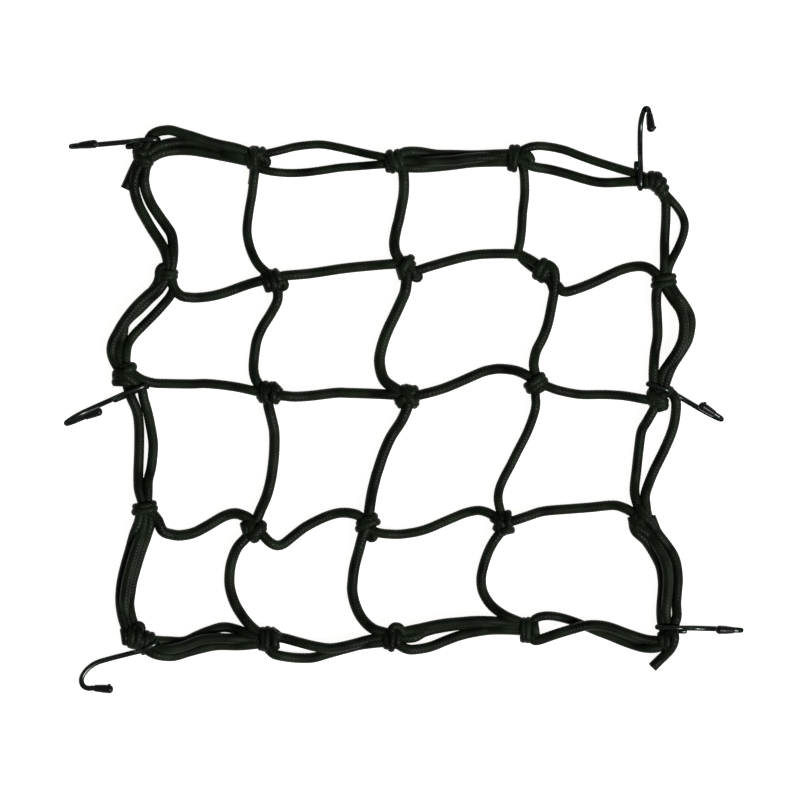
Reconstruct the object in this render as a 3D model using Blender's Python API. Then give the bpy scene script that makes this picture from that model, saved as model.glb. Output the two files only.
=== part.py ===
"""Cargo net: black elastic cord knotted into 4 x 4 meshes, with six wire hooks, as it lies on a surface.

Metres, +Z up. X runs across the net, Y along it, and the surface is at z = 0.
"""

import math

import bpy
from mathutils import Vector

for old in list(bpy.data.objects):
    bpy.data.objects.remove(old, do_unlink=True)

# ---------------------------------------------------------------- sizes, mm
MM = 0.001
MIDDLE = Vector((0.70, -1.99, 0))  # middle of the whole, hooks included, in the tables' own X and Y
CORD_WIDTH = 5.2  # across the corners of the cord
CORD_SIDES = 5  # flats round the cord, one of them on the surface
CORD_REST = CORD_WIDTH / 2 * math.cos(math.pi / CORD_SIDES)  # middle of a cord that lies on the surface
CORD_RISE = 3.2  # how far a cord climbs off the surface to enter a knot
HELD_SHARE = 0.15  # share of a run, at each end, that the knot holds up
RISE_SHARE = 0.18  # share of a run over which it comes down to the surface
BORDER_STEPS = 6  # lengths that a border run is laid out in
INNER_STEPS = 8
SHORT_STEPS = 4
KNOT_HEIGHT = 10.6
KNOT_SIDES = 8
KNOT_SEAT = 0.94  # below this share of its half height, a knot is pressed flat on the surface
KNOT_CROWN = 1.06
EAR_SIZE = 3.4  # radius of the bight that stands out beside a knot
EAR_HEIGHT = 4.6  # to the middle of that bight
EAR_ROWS = 4
EAR_SIDES = 6

WIRE = 2.2  # hook wire, across its corners
WIRE_SIDES = 6
WIRE_BASE = 0.15  # gap between the wire and the surface
EYE_SHIFT = 2.8  # the two ends of the eye lie side by side, this far apart
EYE_STEPS = 10
EYE_FLAT = 0.6  # 1 is a round eye, less is flatter
EYE_OPENS = 46.0  # degrees either side of the shank that the eye leaves open
SHANK_RISE = 0.3
SHANK_LEAD = 1.6  # straight length where the shank leaves the eye
STUB_RISE = 1.6
STUB_STEP = 0.8  # the stub sinks this much on its way out of the eye
STUB_LEAD = 0.6

TIP_LENGTH = 8.4  # mouth of the tip cap to the middle of its ball
TIP_BALL = 2.05  # radius
TIP_MOUTH = 1.95  # radius
TIP_LIP = 0.5  # the sleeve starts this far past the end of the bend
TIP_SLEEVE = 2.07  # radius where the sleeve ends
TIP_SLEEVE_END = 5.8
TIP_NECK = 1.78  # radius between the sleeve and the ball
TIP_NECK_AT = 6.7
TIP_BALL_CUTS = (0, 40, 74)  # where the ball has its rings, degrees past its middle
TIP_BORE = 1.5  # radius
TIP_BORE_DEPTH = 6.8
TIP_SIDES = 10
WIRE_IN_TIP = 6.2

# The 25 knots. turn: the way the bound cords run, degrees from +X. length and width: overall, along and
# across that way. wraps: turns of cord. lean: degrees that neighbouring turns lean apart. ear: where a bight
# stands out, 0 0 for none.
KNOTS = (
    # name      x       y   turn length width wraps lean  ear_x  ear_y
    ("k00", -134.5, 124.5, 80, 11.0, 10.5, 2, 12, -2.5, 1.5),
    ("k10", -76.5, 125.5, 0, 12.5, 12.0, 2, 18, 5.0, -2.0),
    ("k20", -5.0, 123.5, 0, 10.0, 12.0, 2, 16, 0.0, 0.0),
    ("k30", 57.5, 125.5, 0, 8.0, 14.5, 1, 0, 6.5, -0.5),
    ("k40", 130.5, 112.5, -35, 13.0, 12.0, 2, 12, 3.5, -5.0),
    ("k01", -123.0, 64.5, 85, 9.0, 11.0, 1, 0, -3.5, -2.5),
    ("k11", -67.5, 61.5, 45, 12.0, 10.5, 2, 20, 3.5, -3.0),
    ("k21", 1.5, 68.0, 75, 13.0, 10.0, 2, 20, 4.5, -4.0),
    ("k31", 71.5, 66.5, -45, 18.0, 10.5, 2, 16, -4.0, 4.0),
    ("k41", 135.5, 61.0, 90, 8.5, 13.0, 2, 0, 0.0, 0.0),
    ("k02", -144.5, 12.5, 80, 12.5, 12.5, 2, 18, 1.0, 4.5),
    ("k12", -70.0, 3.5, 0, 13.0, 12.5, 2, 20, 0.0, 0.0),
    ("k22", 1.5, 1.5, 0, 13.0, 11.0, 2, 20, 0.0, 0.0),
    ("k32", 69.0, 8.0, -54, 11.0, 11.0, 2, 8, 0.0, 0.0),
    ("k42", 132.0, 0.5, 90, 12.0, 12.0, 2, 14, -3.5, 3.5),
    ("k03", -134.5, -57.0, 98, 8.5, 13.0, 2, 0, 0.0, 0.0),
    ("k13", -77.5, -68.0, 0, 13.0, 12.0, 2, 20, 0.0, 0.0),
    ("k23", -18.5, -66.0, 111, 9.0, 13.0, 2, 0, 1.5, -5.0),
    ("k33", 51.5, -64.0, 60, 13.0, 12.0, 2, 20, 0.0, 0.0),
    ("k43", 125.0, -61.5, 62, 15.0, 14.0, 2, 20, -3.5, -4.0),
    ("k04", -141.0, -122.5, 40, 13.0, 12.5, 2, 16, 2.0, 6.0),
    ("k14", -69.5, -125.0, 0, 12.5, 13.0, 2, 6, 4.0, 1.0),
    ("k24", -5.5, -124.0, 0, 11.0, 13.5, 2, 10, 1.0, 5.0),
    ("k34", 65.5, -120.0, 0, 10.0, 12.5, 2, 0, 0.0, 0.0),
    ("k44", 139.0, -127.0, 90, 8.0, 12.0, 1, 0, 1.0, -3.0),
)

# The outline of a knot along the way it is bound: each turn of cord stands out as a ridge.
TWO_TURNS = (
    # place  swell
    (-0.50, 0.50),
    (-0.38, 0.88),
    (-0.20, 1.00),
    (0.00, 0.80),
    (0.20, 1.00),
    (0.38, 0.88),
    (0.50, 0.50),
)
ONE_TURN = (
    # place  swell
    (-0.50, 0.42),
    (-0.30, 0.66),
    (-0.20, 0.96),
    (0.00, 1.00),
    (0.20, 0.96),
    (0.30, 0.66),
    (0.50, 0.42),
)

# The cord runs of the border, two or three side by side. The seven sides are how far the run lies to the
# left of the straight line from its first knot to its second, at each sixth of the way. over: how far its
# middle part is lifted, where it crosses or rides on another run.
BORDER_RUNS = (
    # name    from   to     start   1/6    2/6    3/6    4/6    5/6    end  over
    ("top_1a", "turn_1", "k10", 0.5, 4.0, 3.5, 3.0, 2.5, 2.5, 2.0, 4.6),
    ("top_1b", "k00", "k10", -1.0, 5.5, 9.0, 8.5, 5.0, 2.0, 0.0, 0.0),
    ("top_1c", "k00", "k10", -2.5, 1.0, 3.5, 3.0, -0.5, -2.0, -2.5, 0.0),
    ("top_2a", "k10", "k20", 1.0, 4.5, 7.0, 7.0, 5.0, 3.0, 1.0, 0.0),
    ("top_2b", "k10", "k20", -3.5, -8.0, -7.5, -5.5, -4.0, -3.0, -1.5, 0.0),
    ("top_3a", "k20", "k30", 2.5, 5.0, 3.5, 3.0, 3.0, 3.0, 2.5, 0.0),
    ("top_3b", "k20", "k30", 0.0, 0.5, 0.5, 0.0, 0.0, 0.0, 0.0, 4.6),
    ("top_3c", "k20", "k30", -2.5, -4.0, -4.0, -3.5, -2.5, -2.5, -2.5, 0.0),
    ("top_4a", "k30", "k40", 3.0, 9.0, 9.0, 7.0, 5.0, 2.5, 1.5, 0.0),
    ("top_4b", "k30", "k40", -1.5, -2.5, -2.5, -4.0, -4.5, -1.5, -1.5, 0.0),
    ("left_1a", "k00", "k01", -2.0, -6.5, -7.5, -5.5, -1.5, 1.0, 0.5, 0.0),
    ("left_1b", "k00", "k01", 1.0, -1.0, -0.5, 3.0, 6.5, 5.5, 2.5, 0.0),
    ("left_2a", "k01", "k02", -1.5, -4.0, -8.5, -11.0, -12.5, -11.5, -4.5, 4.6),
    ("left_2b", "k01", "k02", -0.5, -1.5, -5.0, -9.0, -10.0, -9.0, -3.5, 0.0),
    ("left_2c", "k01", "k02", 3.5, 6.0, 3.0, -0.5, -3.5, -3.0, 1.5, 0.0),
    ("left_3a", "k02", "k03", 0.0, 1.5, 3.5, 2.5, 0.5, -1.0, -1.0, 0.0),
    ("left_3b", "k02", "k03", 3.5, 7.0, 9.5, 9.5, 7.0, 3.5, 1.5, 0.0),
    ("left_4a", "k03", "k04", -3.0, -4.0, -6.0, -8.0, -9.0, -7.5, -4.5, 0.0),
    ("left_4b", "k03", "k04", 0.0, -0.5, -3.0, -5.0, -6.0, -4.5, -2.0, 4.6),
    ("left_4c", "k03", "k04", 2.5, 2.5, 0.0, -2.0, -3.0, -2.0, 1.0, 0.0),
    ("low_1a", "k04", "k14", 0.0, -2.5, -2.5, 2.0, 5.5, 3.0, 2.5, 0.0),
    ("low_1b", "k04", "k14", -1.5, -5.5, -5.5, -1.5, 0.5, 0.0, 0.0, 4.6),
    ("low_1c", "k04", "k14", -3.0, -7.5, -9.0, -6.0, -4.0, -3.5, -2.5, 0.0),
    ("low_2a", "k14", "k24", 1.0, -0.5, -3.5, -5.0, -3.0, -0.5, 0.5, 4.6),
    ("low_2b", "k14", "k24", -4.5, -9.5, -10.0, -7.5, -4.5, -3.0, -2.0, 0.0),
    ("low_3a", "k24", "k34", 2.0, 2.0, 5.0, 6.0, 6.0, 4.5, 3.0, 4.6),
    ("low_3b", "k24", "k34", 0.0, -0.5, 3.0, 5.5, 6.5, 3.5, 2.5, 0.0),
    ("low_3c", "k24", "k34", -2.5, -6.5, -4.5, -0.5, 1.0, -2.0, -2.5, 0.0),
    ("low_4a", "k34", "k44", 3.0, 7.5, 5.5, 1.5, -2.5, -5.0, -2.5, 0.0),
    ("low_4b", "k34", "k44", -3.0, -2.0, 3.0, 5.0, 2.5, -0.5, -0.5, 4.6),
    ("right_1a", "k40", "k41", 1.5, 3.5, 5.0, 4.0, 2.5, -0.5, -2.5, 0.0),
    ("right_1b", "k40", "k41", 5.5, 9.0, 13.5, 13.5, 9.5, 5.0, 3.0, 0.0),
    ("right_2a", "k41", "k42", -2.5, -3.5, -3.0, -2.0, -3.0, -4.5, -3.5, 0.0),
    ("right_2b", "k41", "k42", 0.5, 7.0, 12.0, 11.5, 7.0, 4.5, 1.5, 4.6),
    ("right_2c", "k41", "k42", 3.0, 10.0, 15.0, 14.0, 9.0, 6.0, 2.5, 0.0),
    ("right_3a", "k42", "k43", -1.0, -3.5, -7.0, -7.0, -7.0, -5.5, -2.0, 0.0),
    ("right_3b", "k42", "k43", 3.5, 10.0, 8.0, 4.5, 2.0, -0.5, 0.5, 0.0),
    ("right_4a", "k43", "k44", -4.5, -2.5, 2.0, 3.0, 1.0, -0.5, -3.0, 0.0),
    ("right_4b", "k43", "k44", -2.5, 2.0, 5.5, 6.0, 3.5, 1.5, 0.5, 4.6),
    ("right_4c", "k43", "k44", 3.5, 6.5, 11.5, 11.5, 9.0, 4.5, 3.0, 0.0),
)

# The single runs inside the border, with the same columns.
INNER_RUNS = (
    # name    from   to     start   1/6    2/6    3/6    4/6    5/6    end  over
    ("row_11", "k01", "k11", -5.0, -10.5, -10.5, -8.5, -5.0, -1.5, 0.5, 0.0),
    ("row_12", "k11", "k21", 1.0, 2.0, 2.5, 3.5, 3.5, 3.5, 2.5, 0.0),
    ("row_13", "k21", "k31", -1.5, 3.0, 7.0, 9.0, 10.0, 7.5, 0.0, 0.0),
    ("row_14", "k31", "k41", -6.0, -8.5, -5.0, 0.5, 6.0, 7.0, 1.0, 0.0),
    ("row_21", "k02", "k12", 2.5, -1.5, -1.0, 0.0, 1.0, 0.5, -0.5, 0.0),
    ("row_22", "k12", "k22", -1.0, -2.0, -0.5, 1.0, 1.0, 0.5, 0.5, 0.0),
    ("row_23", "k22", "k32", 0.0, 0.5, 3.5, 7.0, 9.5, 8.0, 2.0, 0.0),
    ("row_24", "k32", "k42", 0.0, -2.0, -3.0, -2.0, -1.5, -2.0, -2.0, 0.0),
    ("row_31", "k03", "k13", -1.5, -6.0, -10.0, -6.0, 2.5, 6.5, 3.0, 0.0),
    ("row_32", "k13", "k23", -0.5, -7.5, -4.5, 1.5, 6.0, 7.0, 3.5, 0.0),
    ("row_33", "k23", "k33", -3.0, -5.0, -4.5, -1.0, 4.0, 6.0, 1.5, 0.0),
    ("row_34", "k33", "k43", 0.0, 3.0, 5.5, 5.5, 6.5, 6.0, 1.0, 0.0),
    ("line_11", "k10", "k11", -0.5, -2.5, -5.5, -8.5, -11.0, -8.0, -2.5, 0.0),
    ("line_12", "k11", "k12", 1.5, 3.0, -1.0, -6.0, -8.5, -7.5, -2.0, 0.0),
    ("line_13", "k12", "k13", 0.0, 2.5, 5.5, 6.0, 5.5, 3.0, 0.0, 0.0),
    ("line_14", "k13", "k14", -3.0, -12.0, -15.5, -16.5, -14.5, -9.5, -3.5, 0.0),
    ("line_21", "k20", "k21", 3.0, 4.0, 2.5, -0.5, -3.5, -3.5, -2.0, 0.0),
    ("line_22", "k21", "k22", 0.5, -0.5, -4.5, -10.0, -14.0, -12.5, -2.5, 0.0),
    ("line_23", "k22", "k23", 1.5, 1.0, -1.5, -2.5, -3.0, -2.0, -0.5, 0.0),
    ("line_24", "k23", "k24", -1.5, -6.5, -11.5, -14.5, -15.0, -10.5, -2.5, 0.0),
    ("line_31", "k30", "k31", 3.5, 3.0, 0.5, -3.5, -8.0, -10.0, -2.0, 0.0),
    ("line_32", "k31", "k32", 4.0, 6.0, 4.5, 2.5, -0.5, -2.0, 0.0, 0.0),
    ("line_33", "k32", "k33", 0.5, 2.5, 2.0, -1.5, -4.5, -5.0, -1.0, 0.0),
    ("line_34", "k33", "k34", -1.0, -8.5, -15.0, -18.0, -16.0, -9.0, -3.5, 0.0),
)

# The top of the bight that holds the first hook, where a border run starts without a knot.
TURNS = (
    # name       x       y
    ("turn_1", -130.8, 139.0),
)

# Short lengths: the two cut ends of the cord, and the bight that holds the first hook. lift: how far the far
# end is lifted off the surface.
SHORT_CORDS = (
    # name       x1     y1      x2      y2      x3      y3   lift
    ("tail_1", -137.5, 124.0, -140.5, 118.0, -144.0, 110.0, 0.0),
    ("tail_2", 138.5, -127.5, 135.5, -133.5, 129.5, -139.0, 0.0),
    ("bight_1", -133.2, 126.0, -132.4, 133.0, -130.8, 139.0, 3.0),
)

# The hooks. shank: where the shank leaves the eye, and heading: the way it runs, degrees from +X. length:
# from there to the end of the bend. roll: 0 is the bend lying flat, 90 upright. side: 1 where the bend turns
# to the left of the shank, -1 to the right. eye: the way across the cords that the eye holds, its width and
# its top, both to the middle of the wire. stub: how long the free end beside the shank is, and its side.
HOOKS = (
    # name   shank_x shank_y heading length roll side eye  width  top  stub stub_side
    ("hook_1", -136.9, 135.3, 185.7, 35.2, 90, 1, 183.5, 9.8, 9.6, 7.5, 1),
    ("hook_2", 122.4, 121.6, 90.0, 28.0, 68, -1, 90.0, 13.6, 9.6, 4.0, 1),
    ("hook_3", -146.5, 1.6, 204.0, 31.0, 78, 1, 202.0, 14.2, 9.6, 5.0, 1),
    ("hook_4", 141.8, 4.6, -30.0, 28.0, 80, 1, -30.0, 11.4, 9.6, 5.0, 1),
    ("hook_5", -137.0, -131.8, 196.5, 35.2, 3, 1, 235.0, 15.0, 9.6, 5.0, 1),
    ("hook_6", 145.8, -118.4, -2.0, 29.8, 90, 1, -2.0, 13.8, 9.6, 4.0, -1),
)

# The bend of a hook, from the straight shank to the mouth of its tip cap.
BEND = (
    # reach  rise
    (-16.2, 0.0),
    (-9.7, 0.4),
    (-4.7, 2.3),
    (-1.2, 5.2),
    (0.0, 7.9),
    (-0.5, 10.5),
    (-2.7, 12.1),
    (-5.7, 12.7),
)
TIP_OPENS = 18.0  # degrees that the capped end opens away from the shank

NET_BLACK = (0.011, 0.014, 0.010, 1.0)
HOOK_BLACK = (0.020, 0.021, 0.022, 1.0)
TIP_BLACK = (0.012, 0.012, 0.013, 1.0)


# ------------------------------------------------------------- functions
def material(name, colour, roughness, metallic):
    made = bpy.data.materials.new(name)
    made.use_nodes = True
    made.diffuse_color = colour
    shader = made.node_tree.nodes["Principled BSDF"]
    shader.inputs["Base Color"].default_value = colour
    shader.inputs["Roughness"].default_value = roughness
    shader.inputs["Metallic"].default_value = metallic
    return made


def mesh_object(name, points, faces, surface=None):
    """An object made of points in the tables' millimetres and faces that look outwards."""
    mesh = bpy.data.meshes.new(name)
    mesh.from_pydata([tuple((point - MIDDLE) * MM) for point in points], [], faces)
    made = bpy.data.objects.new(name, mesh)
    bpy.context.scene.collection.objects.link(made)
    if surface:
        mesh.materials.append(surface)
    return made


def ring_faces(rings, sides):
    """Quads between neighbouring rings of points, and a flat cap at each end."""
    faces = []
    for ring in range(rings - 1):
        for side in range(sides):
            here = ring * sides + side
            beside = ring * sides + (side + 1) % sides
            faces.append((here, beside, beside + sides, here + sides))
    last = (rings - 1) * sides
    faces.append(tuple(range(sides))[::-1])
    faces.append(tuple(range(last, last + sides)))
    return faces


def directions(path):
    """The way a path runs at each of its points."""
    ends = [path[0]] + list(path) + [path[-1]]
    return [(after - before).normalized() for before, after in zip(ends, ends[2:])]


def level_tube(path, across, sides):
    """A tube with a level flat along its underside, so that it lies flat on the surface."""
    points = []
    for centre, way in zip(path, directions(path)):
        right = Vector((0, 0, 1)).cross(way).normalized()
        up = way.cross(right)
        for side in range(sides):
            turn = 2 * math.pi * (side + 0.5) / sides - math.pi / 2
            points.append(centre + across / 2 * (math.cos(turn) * right + math.sin(turn) * up))
    return points, ring_faces(len(path), sides)


def free_tube(path, across, sides, first_up):
    """A tube along any path, its section carried along without twist."""
    points = []
    ways = directions(path)
    up = (first_up - first_up.dot(ways[0]) * ways[0]).normalized()
    for centre, way in zip(path, ways):
        up = (up - up.dot(way) * way).normalized()
        right = up.cross(way)
        for side in range(sides):
            turn = 2 * math.pi * side / sides
            points.append(centre + across / 2 * (math.cos(turn) * right + math.sin(turn) * up))
    return points, ring_faces(len(path), sides)


def curve_through(stations, steps):
    """Points evenly spread along a smooth curve through the stations."""
    before = 2 * stations[0] - stations[1]
    after = 2 * stations[-1] - stations[-2]
    held = [before] + list(stations) + [after]
    points = []
    for step in range(steps + 1):
        place = step / steps * (len(stations) - 1)
        span = min(int(place), len(stations) - 2)
        t = place - span
        p0, p1, p2, p3 = held[span : span + 4]
        slope = p2 - p0
        bow = 2 * p0 - 5 * p1 + 4 * p2 - p3
        swing = 3 * p1 - p0 - 3 * p2 + p3
        points.append(p1 + 0.5 * (slope * t + bow * t**2 + swing * t**3))
    return points


def smooth(share):
    share = min(max(share, 0.0), 1.0)
    return share * share * (3 - 2 * share)


def run_path(first, last, sides, over, steps):
    """The middle line of a run of cord from one knot to the next."""
    chord = last - first
    left = Vector((-chord.y, chord.x, 0)).normalized()
    count = len(sides) - 1
    stations = [first + chord * i / count + left * side for i, side in enumerate(sides)]
    path = curve_through(stations, steps)
    for i, point in enumerate(path):
        share = i / steps
        down = smooth((min(share, 1 - share) - HELD_SHARE) / RISE_SHARE)
        point.z = CORD_REST + CORD_RISE * (1 - down) + over * down
    return path


def knot_body(x, y, turn, length, width, wraps, lean):
    """A knot as one body of ridged turns, flat where it lies on the surface. Each turn leans its own way."""
    way = Vector((math.cos(math.radians(turn)), math.sin(math.radians(turn)), 0))
    left = Vector((-way.y, way.x, 0))
    ridges = TWO_TURNS if wraps == 2 else ONE_TURN
    points = []
    for place, swell in ridges:
        slope = math.tan(math.radians(lean)) * math.sin(2 * math.pi * place)
        for side in range(KNOT_SIDES):
            around = 2 * math.pi * (side + 0.5) / KNOT_SIDES
            across = width / 2 * swell * math.cos(around)
            along = place * length + slope * across
            height = KNOT_HEIGHT / 2 * (KNOT_SEAT + KNOT_CROWN * swell * math.sin(around))
            point = Vector((x, y, max(height, 0.0)))
            points.append(point + way * along + left * across)
    return points, ring_faces(len(ridges), KNOT_SIDES)


def ear(x, y):
    """The end of a bight of cord that stands out beside a knot."""
    middle = Vector((x, y, EAR_HEIGHT))
    points = []
    for row in range(EAR_ROWS):
        tilt = math.pi * (row + 0.5) / EAR_ROWS - math.pi / 2
        for side in range(EAR_SIDES):
            around = 2 * math.pi * side / EAR_SIDES
            level = Vector((math.cos(around), math.sin(around), 0)) * math.cos(tilt)
            points.append(middle + EAR_SIZE * (level + Vector((0, 0, math.sin(tilt)))))
    return points, ring_faces(EAR_ROWS, EAR_SIDES)


def squared(part):
    """Turns a circle into the flatter loop of a wire closed round two or three cords."""
    return math.copysign(abs(part) ** EYE_FLAT, part)


def hook_path(shank_x, shank_y, heading, length, roll, side, eye, width, top, stub, stub_side):
    """The middle line of a hook's wire: stub, eye, shank and bend, and the way that its capped end points."""
    up = Vector((0, 0, 1))
    out = Vector((math.cos(math.radians(heading)), math.sin(math.radians(heading)), 0))
    left = Vector((-out.y, out.x, 0))
    bend_up = left * side * math.cos(math.radians(roll)) + up * math.sin(math.radians(roll))
    across = Vector((math.cos(math.radians(eye)), math.sin(math.radians(eye)), 0))
    along = Vector((-across.y, across.x, 0)) * stub_side
    low = WIRE_BASE + WIRE / 2
    start = Vector((shank_x, shank_y, low + SHANK_RISE))
    middle = start - across * width / 2
    middle.z = (low + top) / 2
    beside = start + along * EYE_SHIFT
    path = [
        beside + out * stub + up * STUB_RISE,
        beside + out * STUB_LEAD + up * (STUB_RISE + STUB_STEP),
    ]
    for step in range(EYE_STEPS + 1):
        share = step / EYE_STEPS
        angle = math.radians(EYE_OPENS + (360 - 2 * EYE_OPENS) * share)
        path.append(
            middle
            + across * width / 2 * squared(math.cos(angle))
            + up * (top - low) / 2 * squared(math.sin(angle))
            + along * EYE_SHIFT * (1 - share)
        )
    path.append(start + out * SHANK_LEAD)
    end = start + out * length
    for reach, rise in BEND:
        path.append(end + out * reach + bend_up * rise)
    opens = math.radians(TIP_OPENS)
    tip_way = -out * math.cos(opens) + bend_up * math.sin(opens)
    mouth = path[-1]
    path.append(mouth + tip_way * WIRE_IN_TIP)
    return path, mouth, tip_way


def tip_cap(mouth, way):
    """A sleeve open at its mouth, with a blind bore for the wire and a ball at its closed end."""
    profile = [
        # along  radius
        (TIP_BORE_DEPTH, TIP_BORE * 0.5),
        (TIP_BORE_DEPTH, TIP_BORE),
        (TIP_LIP, TIP_BORE),
        (TIP_LIP, TIP_MOUTH),
        (TIP_SLEEVE_END, TIP_SLEEVE),
        (TIP_NECK_AT, TIP_NECK),
    ]
    for latitude in TIP_BALL_CUTS:
        tilt = math.radians(latitude)
        profile.append((TIP_LENGTH + TIP_BALL * math.sin(tilt), TIP_BALL * math.cos(tilt)))
    side_way = way.cross(Vector((0, 0, 1)))
    if side_way.length < 0.1:
        side_way = way.cross(Vector((1, 0, 0)))
    side_way.normalize()
    up = way.cross(side_way)
    points = []
    for along, radius in profile:
        for side in range(TIP_SIDES):
            turn = 2 * math.pi * side / TIP_SIDES
            points.append(mouth + way * along + radius * (math.cos(turn) * side_way + math.sin(turn) * up))
    return points, ring_faces(len(profile), TIP_SIDES)


# ------------------------------------------------------------------- net
places = {row[0]: Vector((row[1], row[2], 0)) for row in KNOTS + TURNS}
pieces = []
for runs, steps in ((BORDER_RUNS, BORDER_STEPS), (INNER_RUNS, INNER_STEPS)):
    for name, first, last, *sides, over in runs:
        path = run_path(places[first], places[last], sides, over, steps)
        pieces.append((name, level_tube(path, CORD_WIDTH, CORD_SIDES)))
for name, x1, y1, x2, y2, x3, y3, lift in SHORT_CORDS:
    stations = [
        Vector((x1, y1, CORD_REST + CORD_RISE)),
        Vector((x2, y2, CORD_REST + (CORD_RISE + lift) / 2)),
        Vector((x3, y3, CORD_REST + lift)),
    ]
    pieces.append((name, level_tube(curve_through(stations, SHORT_STEPS), CORD_WIDTH, CORD_SIDES)))
for name, x, y, turn, length, width, wraps, lean, ear_x, ear_y in KNOTS:
    pieces.append((name, knot_body(x, y, turn, length, width, wraps, lean)))
    if ear_x or ear_y:
        pieces.append((f"{name}_ear", ear(x + ear_x, y + ear_y)))

joined = bpy.data.collections.new("cord_pieces")
bpy.context.scene.collection.children.link(joined)
net_black = material("cord_black", NET_BLACK, 0.62, 0.0)
net = mesh_object("net", *pieces[0][1], net_black)
for name, shape in pieces[1:]:
    piece = mesh_object(f"cord_{name}", *shape, net_black)
    bpy.context.scene.collection.objects.unlink(piece)
    joined.objects.link(piece)
    piece.hide_render = True
    piece.display_type = "WIRE"
union = net.modifiers.new("tied", "BOOLEAN")
union.operation = "UNION"
union.operand_type = "COLLECTION"
union.collection = joined
union.solver = "EXACT"

# ----------------------------------------------------------------- hooks
wire_black = material("hook_black", HOOK_BLACK, 0.28, 0.0)
tip_black = material("tip_black", TIP_BLACK, 0.22, 0.0)
for name, *row in HOOKS:
    path, mouth, tip_way = hook_path(*row)
    mesh_object(name, *free_tube(path, WIRE, WIRE_SIDES, Vector((0, 0, 1))), wire_black)
    mesh_object(name.replace("hook", "tip"), *tip_cap(mouth, tip_way), tip_black)
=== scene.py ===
"""Cargo net of black braided elastic cord, knotted into 4 x 4 meshes, with six wire hooks.

It lies flat on a light table and is seen from straight above.
"""

import math

import bpy
import numpy as np
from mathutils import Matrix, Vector


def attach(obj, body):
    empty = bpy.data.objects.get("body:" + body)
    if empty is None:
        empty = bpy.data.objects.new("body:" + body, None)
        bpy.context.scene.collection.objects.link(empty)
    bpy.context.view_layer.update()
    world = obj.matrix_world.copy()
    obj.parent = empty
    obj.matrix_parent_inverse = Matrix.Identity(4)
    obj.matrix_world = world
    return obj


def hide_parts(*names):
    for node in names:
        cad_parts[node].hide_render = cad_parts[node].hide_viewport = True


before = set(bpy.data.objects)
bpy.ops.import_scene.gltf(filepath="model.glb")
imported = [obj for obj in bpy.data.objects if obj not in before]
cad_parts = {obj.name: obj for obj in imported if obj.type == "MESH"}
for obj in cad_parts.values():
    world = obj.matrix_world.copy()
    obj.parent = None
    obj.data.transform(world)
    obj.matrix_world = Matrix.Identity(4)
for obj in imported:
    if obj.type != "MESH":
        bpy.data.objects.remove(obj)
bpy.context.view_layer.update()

# ------------------------------------------------------------------ camera
# The net is seen from straight above, square on to the table, with the whole of it and its hooks in view. The
# lens is a long one, four metres up, so that the hooks and knots show no sides.
MM = 0.001
VIEW_MIDDLE = (-2.52, 1.47)  # mm, the point under the lens
VIEW_WIDTH = 416.0  # mm across the picture, at the height of the cords
VIEW_HEIGHT = 4000.0  # mm from the cords up to the lens
CORD_LEVEL = 4.0  # mm over the table, where that width is measured

lens = bpy.data.cameras.new("overhead")
lens.sensor_width = 36.0
lens.lens = lens.sensor_width * VIEW_HEIGHT / VIEW_WIDTH
overhead = bpy.data.objects.new("overhead", lens)
overhead.location = Vector((*VIEW_MIDDLE, VIEW_HEIGHT + CORD_LEVEL)) * MM
bpy.context.scene.collection.objects.link(overhead)
bpy.context.scene.camera = overhead

# ------------------------------------------------------------ elastic cord
# The net is one length of 5 mm elastic cord: rubber threads in a tubular cover braided from black polyester
# yarn on twenty carriers. It is led through the hooks and from knot to knot, two or three cords side by side
# round the border and single inside it, and lies on the table under its own weight.
MIDDLE = np.array((0.70, -1.99, 0.0))  # middle of the whole, in the X and Y of the lists below
UP = np.array((0.0, 0.0, 1.0))
CORD = 5.3  # diameter where it is slack and its cover is loose, mm
CARRIERS = 20  # yarns round the cord, ten each way
PICK = 0.9  # each yarn passes over and under this far along the cord
YARN_RELIEF = 0.035  # a yarn stands this far out of the cover, or sinks into it
CORD_RISE = 3.0  # a cord climbs this far off the table to enter a knot
HELD = 9.0  # at each end, the knot holds up this much of a run
INTO_KNOT = 2.0  # and a run goes on this far inside the knot
COMES_DOWN = 11.0  # length over which it comes down to the table
SPAN_POINTS = 24  # points worked out between two stations, before they are spaced evenly
LEAST_STEPS = 4  # in any line, however short

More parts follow.
